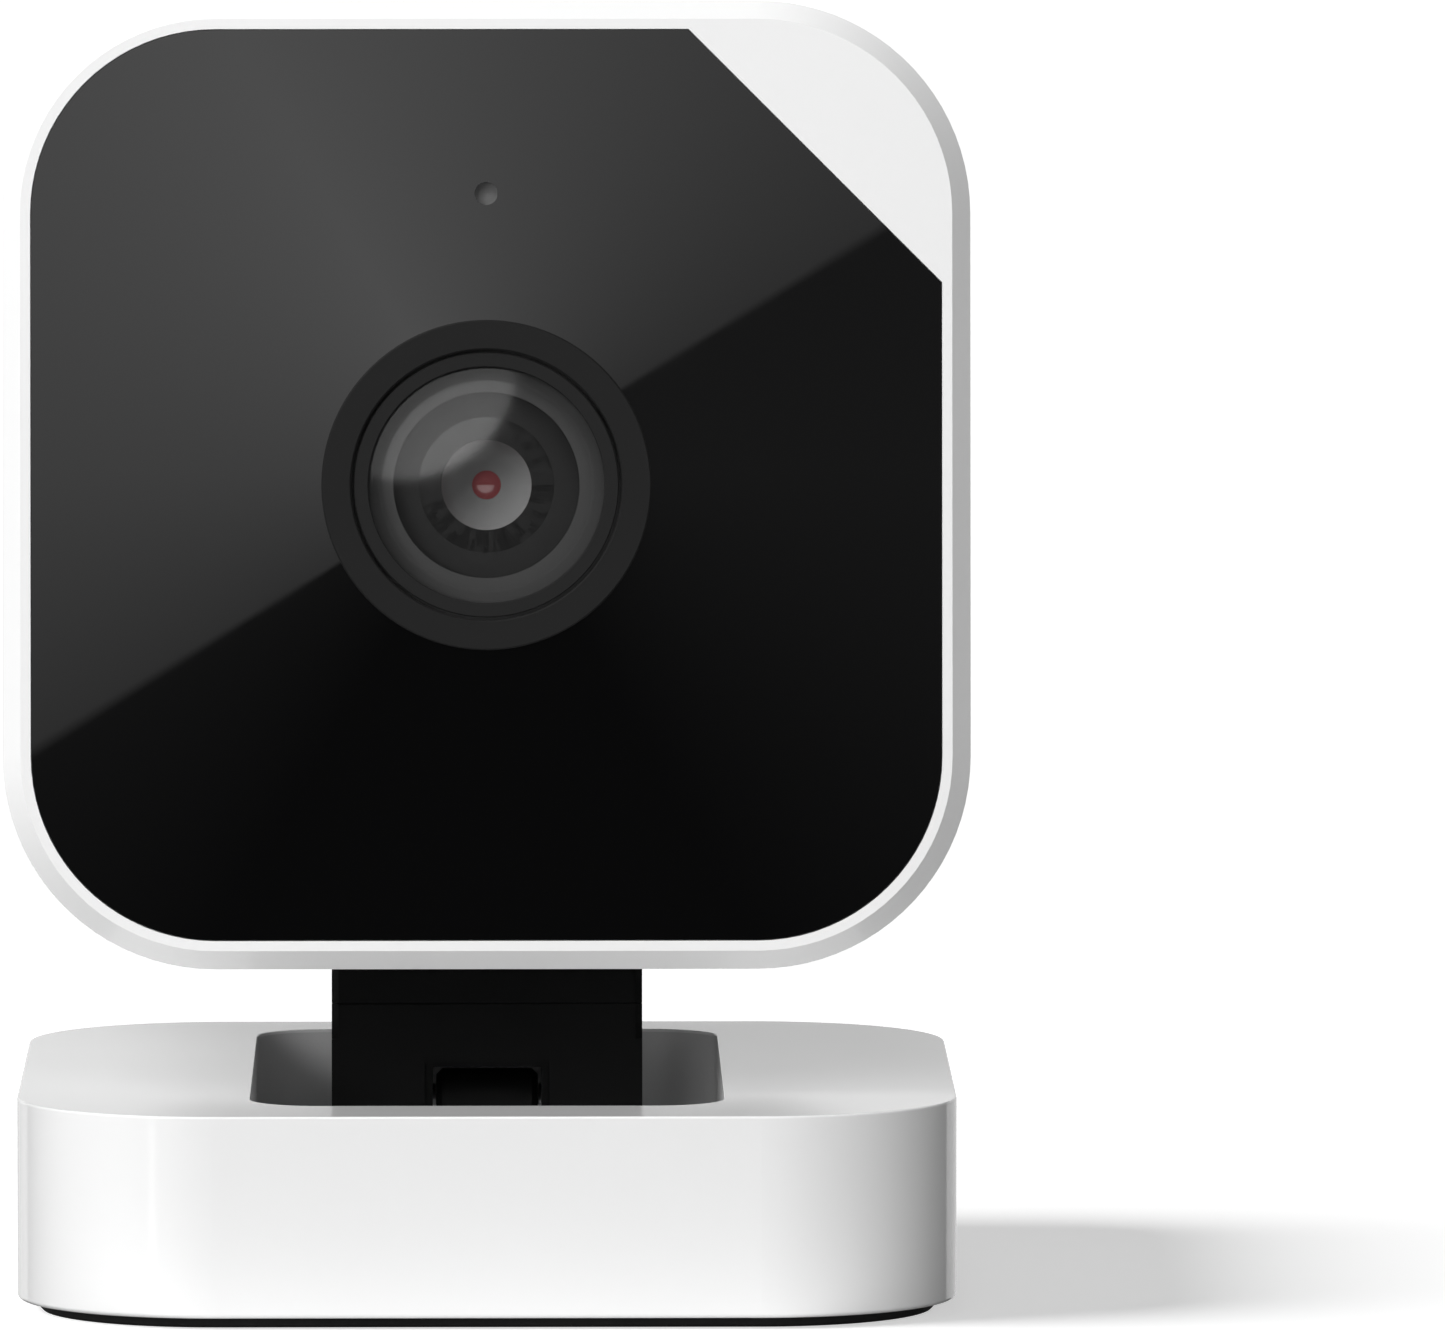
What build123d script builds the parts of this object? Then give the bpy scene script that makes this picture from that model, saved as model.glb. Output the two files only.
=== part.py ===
from build123d import *
import os

# A compact indoor security camera on a square desk base. Millimetres, +Z up. The lens looks
# along -Y and the origin is the centre of the foot pad's underside.
#
# Base pieces are drawn in the row's own frame. Neck pieces are drawn in the neck frame, whose
# origin is the middle of the tilt pin and whose +Z runs up the neck. Head pieces are drawn in
# the face frame, whose origin is the centre of the front face, with +X right, +Y up the face
# and +Z out of it, so a depth into the head is a negative Z.

# Head casing
HEAD_SIZE = 52.0
HEAD_CORNER = 11.4
HEAD_DEPTH = 38.0
HEAD_CHAMFER = 1.0
HEAD_WALL = 2.0
REAR_ROUND = 2.4
SPLIT_DEPTH = 35.0
SPLIT_CHAMFER = 0.15
GASKET_HEIGHT = 0.8
GASKET_WIDTH = 1.0

# Front window: a flat panel in a recess, with one corner cut off at 45 degrees
RIM_WIDTH = 0.54
WINDOW_RADIUS = 9.9
WINDOW_GAP = 0.05
WINDOW_BACK = 1.4
WINDOW_SINK = 0.06
CUT_LEG = 13.6
FLOOR_BACK = 3.2

# Lens stack, as radii and depths
BEZEL_RADIUS = 8.86
BEZEL_BORE = 7.27
RETAINER_RADIUS = 7.11
RETAINER_BORE = 6.33
DOME_RADIUS = 6.30
DOME_RISE = 1.35
DOME_RIM_RADIUS = 6.9
DOME_RIM_FRONT = 0.8
DOME_RIM_BACK = 1.6
BAFFLE_FRONT = 1.65
BAFFLE_BORE = 5.01
BARREL_FACE = 3.0
FRONT_ELEMENT_RADIUS = 3.65
FRONT_ELEMENT_RISE = 0.45
FRONT_ELEMENT_THICKNESS = 0.25
BOWL_RADIUS = 2.43
BOWL_DEPTH = 1.5
IRIS_RADIUS = 0.78
IRIS_BACK = 4.9
FILTER_BACK = 5.2
BARREL_THREAD_RADIUS = 4.0
BARREL_BACK = 13.0
HOLDER_SIZE = 15.0
HOLDER_FRONT = 7.0

# Boards
LED_BOARD_FRONT = 5.0
LED_BOARD_BACK = 6.0
SENSOR_BOARD_FRONT = 15.4
SENSOR_BOARD_BACK = 16.4
SENSOR_BOARD_SIZE = 28.0
SENSOR_POST = 11.5
MAIN_BOARD_FRONT = 27.0
MAIN_BOARD_BACK = 28.2
MAIN_POST_X = 17.5
MAIN_POST_Y = 8.0
COVER_BOSS = 18.2
FLEX_SOCKET_Y = 11.5
FLEX_WIDTH = 7.5
FLEX_THICKNESS = 0.2
COVER_INSIDE = HEAD_DEPTH - HEAD_WALL

# What shows on the face and the back of the head
MIC_HEIGHT = 15.64
MIC_RADIUS = 0.62
MIC_RECESS = 0.4
SPEAKER_Y = 8.0
SPEAKER_RADIUS = 9.0
PORT_Y = -11.0
PORT_WIDTH = 8.94
PORT_HEIGHT = 3.26
BUTTON_X = 12.0
BUTTON_RADIUS = 2.4
BUTTON_CLEARANCE = 0.06
BUTTON_TRAVEL = 0.4

# Base
BASE_SIZE = 50.4
BASE_CORNER = 10.6
BASE_WALL = 2.0
FOOT_DROP = 0.6
FOOT_INSET = 1.2
BASE_TOP = 11.4
BASE_EDGE = 0.12
PLATE_TOP = 1.6
PLATE_GAP = 0.05
POCKET_WIDTH = 25.4
POCKET_FRONT = -19.55
POCKET_REAR = 20.85
POCKET_CORNER = 3.65
POCKET_FLOOR = 3.4
POCKET_WALL = 1.2
POCKET_SKIN = 1.0
POCKET_LEDGE = 1.0
COLLAR_WALL = 0.4
POCKET_LIP = 0.16
BASE_BOSS = 18.5

# Neck, and where the tilt pin and the head sit
NECK_WIDTH = 17.1
NECK_THICKNESS = 5.2
YOKE_TOP = 6.2
NECK_SEAM = 0.06
NECK_TOP = 8.5
NOTCH_WIDTH = 5.98
NOTCH_TOP = 2.72
NOTCH_LIP_WIDTH = 6.93
NOTCH_LIP_TOP = 3.0
NOTCH_LIP_DEPTH = 0.6
NECK_CHAMFER = 0.38
KNUCKLE_WIDTH = 5.58
KNUCKLE_RADIUS = 2.6
KNUCKLE_CHAMFER = 0.33
PIN_RADIUS = 1.0
PIN_LENGTH = 16.4
RUNNING_CLEARANCE = 0.05
SHAFT_RADIUS = 1.8
BUSH_RADIUS = 2.5
PIN_Y = 16.0
PIN_Z = 7.13
REST_TILT = 4.2
HEAD_BOTTOM = 8.8
FACE_Y = -30.8

PIN_FRAME = Location((0, PIN_Y, PIN_Z), (-REST_TILT, 0, 0))
FACE_PLANE = Plane(
    origin=(0, FACE_Y, HEAD_BOTTOM + HEAD_SIZE / 2), x_dir=(1, 0, 0), z_dir=(0, -1, 0)
)
FACE_FRAME = PIN_FRAME * FACE_PLANE.location


# ---------------------------------------------------------------- shared shapes


def slab(width, height, near, far, radius=0.0, x=0.0, y=0.0):
    """A plate parallel to the face, from depth near to depth far."""
    if radius:
        outline = RectangleRounded(width, height, radius)
    else:
        outline = Rectangle(width, height)
    return Pos(x, y, -far) * extrude(outline, far - near)


def disc(radius, near, far, x=0.0, y=0.0):
    """A round plate parallel to the face, from depth near to depth far."""
    return Pos(x, y, -far) * extrude(Circle(radius), far - near)


def ring(outer, inner, near, far, x=0.0, y=0.0):
    return disc(outer, near, far, x, y) - disc(inner, near, far, x, y)


def block(width, length, low, high, radius=0.0, x=0.0, y=0.0):
    """A plate parallel to the desk, from height low to height high."""
    if radius:
        outline = RectangleRounded(width, length, radius)
    else:
        outline = Rectangle(width, length)
    return Pos(x, y, low) * extrude(outline, high - low)


def rod(radius, low, high, x=0.0, y=0.0):
    """An upright cylinder from height low to height high."""
    return Pos(x, y, low) * extrude(Circle(radius), high - low)


def four_corners(reach_x, reach_y=None):
    reach_y = reach_x if reach_y is None else reach_y
    return [(sx * reach_x, sy * reach_y) for sx in (-1, 1) for sy in (-1, 1)]


def screw(head_radius, head_height, shank_radius, length):
    """A pan-head screw, its head's top at the origin and its shank along -Z."""
    head = rod(head_radius, -head_height, 0)
    head = chamfer(head.edges().sort_by(Axis.Z)[-1], head_height * 0.3)
    shank = rod(shank_radius, -head_height - length, -head_height)
    slot_width = head_radius * 0.3
    slot_depth = head_height * 0.5
    cross = block(head_radius * 1.2, slot_width, -slot_depth, 0)
    cross += block(slot_width, head_radius * 1.2, -slot_depth, 0)
    return head + shank - cross


def spherical_cap(radius, rise):
    """A cap of the given footprint radius and rise, standing on the XY plane."""
    sphere_radius = (radius**2 + rise**2) / (2 * rise)
    ball = Pos(0, 0, rise - sphere_radius) * Sphere(sphere_radius)
    return ball & rod(radius, 0, rise * 2)


# ---------------------------------------------------------------- head casing


def window_outline(gap):
    """The window's outline, shrunk by gap all round, with its upper right corner cut off."""
    half = HEAD_SIZE / 2 - HEAD_CHAMFER - RIM_WIDTH
    start = half - CUT_LEG
    corner = Polygon((half, half), (start, half), (half, start), align=None)
    outline = RectangleRounded(2 * half, 2 * half, WINDOW_RADIUS) - corner
    if gap:
        outline = offset(outline, -gap)
    return outline


def led_places():
    """Centres of the infrared lamps on the face."""
    return [(-12.6, 0.0), (12.6, 0.0), (-5.5, -15.2), (5.5, -15.2)]


def make_housing():
    """The one-piece casing: front rim, cut corner, side walls and the floor behind the window."""
    shell = slab(HEAD_SIZE, HEAD_SIZE, 0, SPLIT_DEPTH, HEAD_CORNER)
    front = shell.faces().sort_by(Axis.Z)[-1]
    shell = chamfer(front.edges(), HEAD_CHAMFER)
    shell = chamfer(shell.faces().sort_by(Axis.Z)[0].edges(), SPLIT_CHAMFER)
    inside = HEAD_SIZE - 2 * HEAD_WALL
    shell -= slab(inside, inside, FLOOR_BACK, SPLIT_DEPTH, HEAD_CORNER - HEAD_WALL)
    shell -= Pos(0, 0, -WINDOW_BACK) * extrude(window_outline(0), WINDOW_BACK)
    shell -= disc(BEZEL_RADIUS, WINDOW_BACK, FLOOR_BACK)
    for x, y in led_places():
        shell -= disc(2.0, WINDOW_BACK, FLOOR_BACK, x, y)
    shell -= disc(MIC_RADIUS, WINDOW_BACK, FLOOR_BACK, 0, MIC_HEIGHT)
    shell -= disc(1.0, WINDOW_BACK, FLOOR_BACK, 6, MIC_HEIGHT)
    shell -= disc(1.0, WINDOW_BACK, FLOOR_BACK, -6, MIC_HEIGHT)
    for x, y in four_corners(SENSOR_POST):
        shell += disc(3.0, FLOOR_BACK, LED_BOARD_FRONT, x, y)
        shell += disc(2.2, LED_BOARD_FRONT, SENSOR_BOARD_FRONT, x, y)
        shell -= disc(0.8, LED_BOARD_FRONT + 3, SENSOR_BOARD_FRONT, x, y)
    for x, y in four_corners(COVER_BOSS):
        shell += disc(2.5, FLOOR_BACK, SPLIT_DEPTH - GASKET_HEIGHT, x, y)
        shell -= disc(0.9, SPLIT_DEPTH - 9, SPLIT_DEPTH - GASKET_HEIGHT, x, y)
    shell -= gasket_ring()
    # The hole through the underside that the swivel bush sits in.
    bush_hole = Rot(-90, 0, 0) * Cylinder(BUSH_RADIUS, 2 * HEAD_WALL + 1)
    return shell - Pos(0, -HEAD_SIZE / 2, FACE_Y) * bush_hole


def gasket_ring():
    """The seal's space in the inner half of the wall, in front of the rear cover."""
    outer = HEAD_SIZE - 2 * GASKET_WIDTH
    inner = HEAD_SIZE - 2 * HEAD_WALL
    near = SPLIT_DEPTH - GASKET_HEIGHT
    seal = slab(outer, outer, near, SPLIT_DEPTH, HEAD_CORNER - GASKET_WIDTH)
    return seal - slab(inner, inner, near, SPLIT_DEPTH, HEAD_CORNER - HEAD_WALL)


def grille_places():
    """Centres of the sound holes: one in the middle and two rings round it."""
    places = [(0.0, SPEAKER_Y)]
    for count, radius in ((6, 2.4), (12, 4.8)):
        for place in PolarLocations(radius, count):
            places.append((place.position.X, SPEAKER_Y + place.position.Y))
    return places


def make_rear_cover():
    """The lid at the back, with its board posts, sound holes, port opening and button hole."""
    cover = slab(HEAD_SIZE, HEAD_SIZE, SPLIT_DEPTH, HEAD_DEPTH, HEAD_CORNER)
    cover = fillet(cover.faces().sort_by(Axis.Z)[0].edges(), REAR_ROUND)
    cover = chamfer(cover.faces().sort_by(Axis.Z)[-1].edges(), SPLIT_CHAMFER)
    inside = HEAD_SIZE - 2 * HEAD_WALL - 1.0
    hollow = slab(inside, inside, SPLIT_DEPTH, COVER_INSIDE, HEAD_CORNER - HEAD_WALL - 0.5)
    for x, y in four_corners(COVER_BOSS):
        hollow -= disc(2.5, SPLIT_DEPTH, COVER_INSIDE, x, y)
    cover -= hollow
    for x, y in four_corners(COVER_BOSS):
        cover -= disc(1.0, SPLIT_DEPTH, HEAD_DEPTH, x, y)
        cover -= disc(1.9, HEAD_DEPTH - 1.4, HEAD_DEPTH, x, y)
    for x, y in four_corners(MAIN_POST_X, MAIN_POST_Y):
        cover += disc(2.2, MAIN_BOARD_BACK, COVER_INSIDE, x, y)
        cover -= disc(0.8, MAIN_BOARD_BACK, COVER_INSIDE - 1, x, y)
    for x, y in grille_places():
        cover -= disc(0.6, COVER_INSIDE, HEAD_DEPTH, x, y)
    cover -= slab(13.0, 7.4, HEAD_DEPTH - 0.9, HEAD_DEPTH, 2.4, 0, PORT_Y)
    opening = slab(PORT_WIDTH, PORT_HEIGHT, COVER_INSIDE, HEAD_DEPTH, PORT_HEIGHT * 0.49, 0, PORT_Y)
    cover -= opening
    bore = BUTTON_RADIUS + BUTTON_CLEARANCE
    cover -= disc(bore, COVER_INSIDE, HEAD_DEPTH, BUTTON_X, PORT_Y)
    return cover


def make_cover_screws():
    place = Rot(180, 0, 0)
    one = place * screw(1.8, 1.0, 0.9, 6.0)
    depth = HEAD_DEPTH - 0.4
    return [Pos(x, y, -depth) * one for x, y in four_corners(COVER_BOSS)]


# ---------------------------------------------------------------- face and lens


def make_window():
    """The smoked panel, with holes for the lens bezel and the microphone."""
    outline = window_outline(WINDOW_GAP)
    panel = Pos(0, 0, -WINDOW_BACK) * extrude(outline, WINDOW_BACK - WINDOW_SINK)
    panel -= disc(BEZEL_RADIUS, 0, WINDOW_BACK)
    panel -= disc(MIC_RADIUS, 0, WINDOW_BACK, 0, MIC_HEIGHT)
    return panel


def make_mic_gauze():
    """A dished disc of gauze in the microphone's hole."""
    plug = disc(MIC_RADIUS, MIC_RECESS, FLOOR_BACK, 0, MIC_HEIGHT)
    dish = Pos(0, MIC_HEIGHT, 0.54 - MIC_RECESS) * Sphere(0.85)
    return plug - dish


def make_lens_bezel():
    """The matt outer ring round the lens, put in from behind against the floor."""
    bezel = ring(BEZEL_RADIUS, BEZEL_BORE, -0.2, 4.0)
    bezel += ring(10.2, BEZEL_BORE, FLOOR_BACK, 4.0)
    return chamfer(bezel.faces().sort_by(Axis.Z)[-1].edges(), 0.08)


def make_lens_retainer():
    """The inner ring that holds the dome down."""
    retainer = ring(RETAINER_RADIUS, RETAINER_BORE, -0.1, DOME_RIM_FRONT)
    return chamfer(retainer.faces().sort_by(Axis.Z)[-1].edges(), 0.06)


def make_lens_dome():
    """The clear domed cover glass, with a rim under the retainer."""
    outside = Pos(0, 0, -0.05) * spherical_cap(DOME_RADIUS, DOME_RISE)
    rim = disc(DOME_RADIUS, 0.05, DOME_RIM_BACK) + disc(DOME_RIM_RADIUS, DOME_RIM_FRONT, DOME_RIM_BACK)
    inside = Pos(0, 0, -0.75) * spherical_cap(DOME_RADIUS - 0.5, DOME_RISE - 0.1)
    inside += disc(DOME_RADIUS - 0.5, 0.75, DOME_RIM_BACK)
    return outside + rim - inside


def make_lens_baffle():
    """The stepped sleeve under the dome, down to the face of the lens barrel."""
    return ring(BEZEL_BORE, BAFFLE_BORE, BAFFLE_FRONT, 6.4)


def make_lens_barrel():
    """The threaded barrel, with a flat face round the bowl."""
    barrel = disc(BAFFLE_BORE, BARREL_FACE, 6.4)
    barrel += disc(BARREL_THREAD_RADIUS, 6.4, BARREL_BACK)
    barrel -= disc(BOWL_RADIUS, BARREL_FACE, FILTER_BACK)
    barrel -= disc(1.9, FILTER_BACK, 8.5)
    return barrel - disc(2.8, 8.5, BARREL_BACK)


def make_front_element():
    """The thin curved front glass, standing on the barrel's face."""
    outside = spherical_cap(FRONT_ELEMENT_RADIUS, FRONT_ELEMENT_RISE)
    inside = Pos(0, 0, -FRONT_ELEMENT_THICKNESS) * spherical_cap(
        FRONT_ELEMENT_RADIUS, FRONT_ELEMENT_RISE
    )
    return Pos(0, 0, -BARREL_FACE) * (outside - inside)


def make_iris():
    """The polished bowl behind the front glass, with the pupil at its bottom."""
    bowl = disc(BOWL_RADIUS, BARREL_FACE, IRIS_BACK)
    # The sphere that passes through the bowl's mouth and the pupil's edge.
    lift = (BOWL_RADIUS**2 - IRIS_RADIUS**2 - BOWL_DEPTH**2) / (2 * BOWL_DEPTH)
    hollow = Sphere((BOWL_RADIUS**2 + lift**2) ** 0.5)
    bowl -= Pos(0, 0, lift - BARREL_FACE) * hollow
    return bowl - disc(IRIS_RADIUS, BARREL_FACE, IRIS_BACK)


def make_filter():
    """The tinted infrared-cut glass right behind the pupil."""
    return disc(BOWL_RADIUS, IRIS_BACK, FILTER_BACK)


def make_rear_element():
    return disc(2.8, 9.2, 10.6) + Pos(0, 0, -9.2) * spherical_cap(2.8, 0.6)


def make_lens_holder():
    """The square mount that the barrel is screwed into, over the sensor."""
    holder = slab(HOLDER_SIZE, HOLDER_SIZE, HOLDER_FRONT, SENSOR_BOARD_FRONT, 1.0)
    holder -= disc(BARREL_THREAD_RADIUS, HOLDER_FRONT, SENSOR_BOARD_FRONT)
    holder -= slab(10.0, 10.0, BARREL_BACK + 0.4, SENSOR_BOARD_FRONT)
    return holder


# ---------------------------------------------------------------- electronics


def make_image_sensor():
    sensor = slab(8.0, 7.0, SENSOR_BOARD_FRONT - 0.8, SENSOR_BOARD_FRONT)
    cover_glass = slab(6.6, 5.4, SENSOR_BOARD_FRONT - 1.1, SENSOR_BOARD_FRONT - 0.8)
    return sensor + cover_glass


def make_sensor_board():
    size = SENSOR_BOARD_SIZE
    board = slab(size, size, SENSOR_BOARD_FRONT, SENSOR_BOARD_BACK, 1.5)
    for x, y in four_corners(SENSOR_POST):
        board -= disc(0.9, SENSOR_BOARD_FRONT, SENSOR_BOARD_BACK, x, y)
    return board


def make_sensor_screws():
    one = Rot(180, 0, 0) * screw(1.5, 0.8, 0.8, 4.0)
    depth = SENSOR_BOARD_BACK + 0.8
    return [Pos(x, y, -depth) * one for x, y in four_corners(SENSOR_POST)]


def make_led_board():
    """The ring-shaped board that carries the lamps, the light sensor and the microphone."""
    board = slab(30.0, 38.0, LED_BOARD_FRONT, LED_BOARD_BACK, 2.0)
    board -= disc(BEZEL_BORE + 0.3, LED_BOARD_FRONT, LED_BOARD_BACK)
    for x, y in four_corners(SENSOR_POST):
        board -= disc(2.2, LED_BOARD_FRONT, LED_BOARD_BACK, x, y)
    return board


def make_ir_leds():
    """Four infrared lamps, each a square package with a small dome."""
    leds = []
    for x, y in led_places():
        package = slab(2.6, 2.6, 3.9, LED_BOARD_FRONT, 0, x, y)
        leds.append(package + Pos(x, y, -3.9) * spherical_cap(1.1, 0.9))
    return leds


def make_status_light():
    return slab(1.6, 0.8, LED_BOARD_FRONT - 0.7, LED_BOARD_FRONT, 0, 6, MIC_HEIGHT)


def make_light_sensor():
    return slab(2.0, 2.0, LED_BOARD_FRONT - 0.9, LED_BOARD_FRONT, 0, -6, MIC_HEIGHT)


def make_microphone():
    """The microphone can behind the gauze."""
    return slab(3.8, 3.0, FLOOR_BACK, LED_BOARD_FRONT, 0, 0, MIC_HEIGHT)


def make_main_board():
    """The main board, with its corners notched round the casing's bosses."""
    board = slab(42.0, 44.0, MAIN_BOARD_FRONT, MAIN_BOARD_BACK, 0.5, 0, 0)
    # The notches also leave the swivel nut free at the bottom.
    for x, y in four_corners(20.0):
        board -= slab(9.6, 9.6, MAIN_BOARD_FRONT, MAIN_BOARD_BACK, 0, x, y)
    board -= slab(24.0, 6.0, MAIN_BOARD_FRONT, MAIN_BOARD_BACK, 0, 0, -20.0)
    for x, y in four_corners(MAIN_POST_X, MAIN_POST_Y):
        board -= disc(0.9, MAIN_BOARD_FRONT, MAIN_BOARD_BACK, x, y)
    return board


def make_board_screws():
    one = screw(1.5, 0.8, 0.8, 5.0)
    depth = MAIN_BOARD_FRONT - 0.8
    return [Pos(x, y, -depth) * one for x, y in four_corners(MAIN_POST_X, MAIN_POST_Y)]


def make_processor():
    return slab(12.0, 12.0, MAIN_BOARD_FRONT - 1.4, MAIN_BOARD_FRONT, 0, 0, -4)


def make_memory_chips():
    chips = []
    for x in (-10.5, 10.5):
        chips.append(slab(6.0, 8.0, MAIN_BOARD_FRONT - 1.4, MAIN_BOARD_FRONT, 0, x, -4))
    return chips


def make_heat_spreader():
    """A folded aluminium plate on the processor and memory."""
    plate = slab(30.0, 20.0, MAIN_BOARD_FRONT - 2.4, MAIN_BOARD_FRONT - 1.4, 1.0, 0, -4)
    for x in (-14.5, 14.5):
        plate += slab(1.0, 18.0, MAIN_BOARD_FRONT - 6.0, MAIN_BOARD_FRONT - 1.4, 0, x, -4)
    return plate


def make_radio_shield():
    """The tin can over the wireless chip, on the back of the main board."""
    can = slab(10.0, 10.0, MAIN_BOARD_BACK, MAIN_BOARD_BACK + 1.8, 0.8, -10, -11)
    return can - slab(9.4, 9.4, MAIN_BOARD_BACK, MAIN_BOARD_BACK + 1.5, 0.6, -10, -11)


def make_flex_sockets():
    """The two ribbon sockets, facing each other on the two boards."""
    sensor_end = slab(9.0, 2.6, SENSOR_BOARD_BACK, SENSOR_BOARD_BACK + 1.2, y=FLEX_SOCKET_Y)
    main_end = slab(9.0, 2.6, MAIN_BOARD_FRONT - 1.2, MAIN_BOARD_FRONT, y=FLEX_SOCKET_Y)
    return [sensor_end, main_end]


def make_sensor_flex():
    """The flat ribbon between the sockets, bent over in one half turn."""
    near = SENSOR_BOARD_BACK + 0.5
    far = MAIN_BOARD_FRONT - 0.5
    radius = (far - near) / 2
    loop = Cylinder(radius, FLEX_WIDTH) - Cylinder(radius - FLEX_THICKNESS, FLEX_WIDTH)
    loop = Rot(0, 90, 0) * loop
    loop -= Pos(0, -radius, 0) * Box(FLEX_WIDTH, 2 * radius, 2 * radius)
    return Pos(0, FLEX_SOCKET_Y + 1.3, -(near + far) / 2) * loop


def make_antenna():
    """The aerial strip stuck under the casing's top wall."""
    top = HEAD_SIZE / 2 - HEAD_WALL
    return Pos(0, top - 0.15, -26) * Box(22, 0.3, 6)


def make_speaker():
    """The speaker's basket and magnet, glued over its gasket."""
    back = COVER_INSIDE - 0.8
    body = ring(SPEAKER_RADIUS, SPEAKER_RADIUS - 0.8, back - 2.4, back, 0, SPEAKER_Y)
    body += disc(SPEAKER_RADIUS, back - 3.0, back - 2.4, 0, SPEAKER_Y)
    body += disc(5.2, back - 5.0, back - 3.0, 0, SPEAKER_Y)
    return body


def make_speaker_cone():
    """The diaphragm in the basket's mouth."""
    back = COVER_INSIDE - 0.8
    edge = SPEAKER_RADIUS - 0.8
    skin = disc(edge, back - 1.0, back - 0.6, 0, SPEAKER_Y)
    dome = Pos(0, SPEAKER_Y, -back + 0.6) * Rot(180, 0, 0) * spherical_cap(3.0, 0.5)
    return skin + dome


def make_speaker_gasket():
    return ring(SPEAKER_RADIUS, SPEAKER_RADIUS - 1.6, COVER_INSIDE - 0.8, COVER_INSIDE, 0, SPEAKER_Y)


def make_speaker_mesh():
    """The dust gauze stuck behind the sound holes."""
    return disc(SPEAKER_RADIUS - 1.8, COVER_INSIDE - 0.2, COVER_INSIDE, 0, SPEAKER_Y)


def make_usb_port():
    """The power inlet's steel shell, open at the back of the head."""
    end = HEAD_DEPTH - 1.1
    corner = PORT_HEIGHT * 0.49
    shell = slab(PORT_WIDTH, PORT_HEIGHT, MAIN_BOARD_BACK, end, corner, 0, PORT_Y)
    inner_height = PORT_HEIGHT - 0.6
    mouth = slab(PORT_WIDTH - 0.6, inner_height, end - 6.5, end, inner_height * 0.49, 0, PORT_Y)
    return shell - mouth


def make_usb_tongue():
    return slab(6.7, 0.7, HEAD_DEPTH - 7.6, HEAD_DEPTH - 1.8, 0, 0, PORT_Y)


def make_button_switch():
    """The small switch under the button, on the main board."""
    body = slab(5.0, 5.0, MAIN_BOARD_BACK, MAIN_BOARD_BACK + 3.4, 0, BUTTON_X, PORT_Y)
    return body + disc(1.2, MAIN_BOARD_BACK + 3.4, MAIN_BOARD_BACK + 4.4, BUTTON_X, PORT_Y)


def make_setup_button():
    """The button: a cap through the cover, a flange inside it and a stem to the switch."""
    cap = disc(BUTTON_RADIUS, COVER_INSIDE - 0.8, HEAD_DEPTH + 0.5, BUTTON_X, PORT_Y)
    cap = chamfer(cap.edges().sort_by(Axis.Z)[0], 0.25)
    flange = disc(BUTTON_RADIUS + 0.6, COVER_INSIDE - 0.85, COVER_INSIDE - 0.05, BUTTON_X, PORT_Y)
    switch_tip = MAIN_BOARD_BACK + 4.4
    stem = disc(1.0, switch_tip + BUTTON_TRAVEL + 0.05, COVER_INSIDE - 0.8, BUTTON_X, PORT_Y)
    return cap + flange + stem


# ---------------------------------------------------------------- swivel and neck


def make_swivel_bush():
    """The plastic bush in the head's underside, with its flange inside."""
    bore = SHAFT_RADIUS + RUNNING_CLEARANCE
    inside = HEAD_BOTTOM + HEAD_WALL
    bush = rod(BUSH_RADIUS, HEAD_BOTTOM, inside) + rod(3.6, inside, inside + 0.8)
    return bush - rod(bore, HEAD_BOTTOM, inside + 0.8)


def make_swivel_shaft():
    """The steel shaft: a keyed end and a flange held by the neck, and a stem up into the head."""
    shaft = rod(1.4, 3.6, 5.35) + rod(2.2, 5.35, YOKE_TOP + NECK_SEAM)
    return shaft + rod(SHAFT_RADIUS, YOKE_TOP + NECK_SEAM, 14.4)


def make_swivel_washer():
    """The domed spring washer that gives the swivel its drag."""
    low = HEAD_BOTTOM + HEAD_WALL + 0.83
    return rod(3.3, low, low + 0.5) - rod(SHAFT_RADIUS, low, low + 0.5)


def make_swivel_nut():
    low = HEAD_BOTTOM + HEAD_WALL + 1.33
    nut = Pos(0, 0, low) * extrude(RegularPolygon(3.0, 6, major_radius=False), 2.0)
    nut = nut - rod(SHAFT_RADIUS, low, low + 2.0)
    return nut


def neck_bar(low, high):
    return block(NECK_WIDTH, NECK_THICKNESS, low, high)


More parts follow.
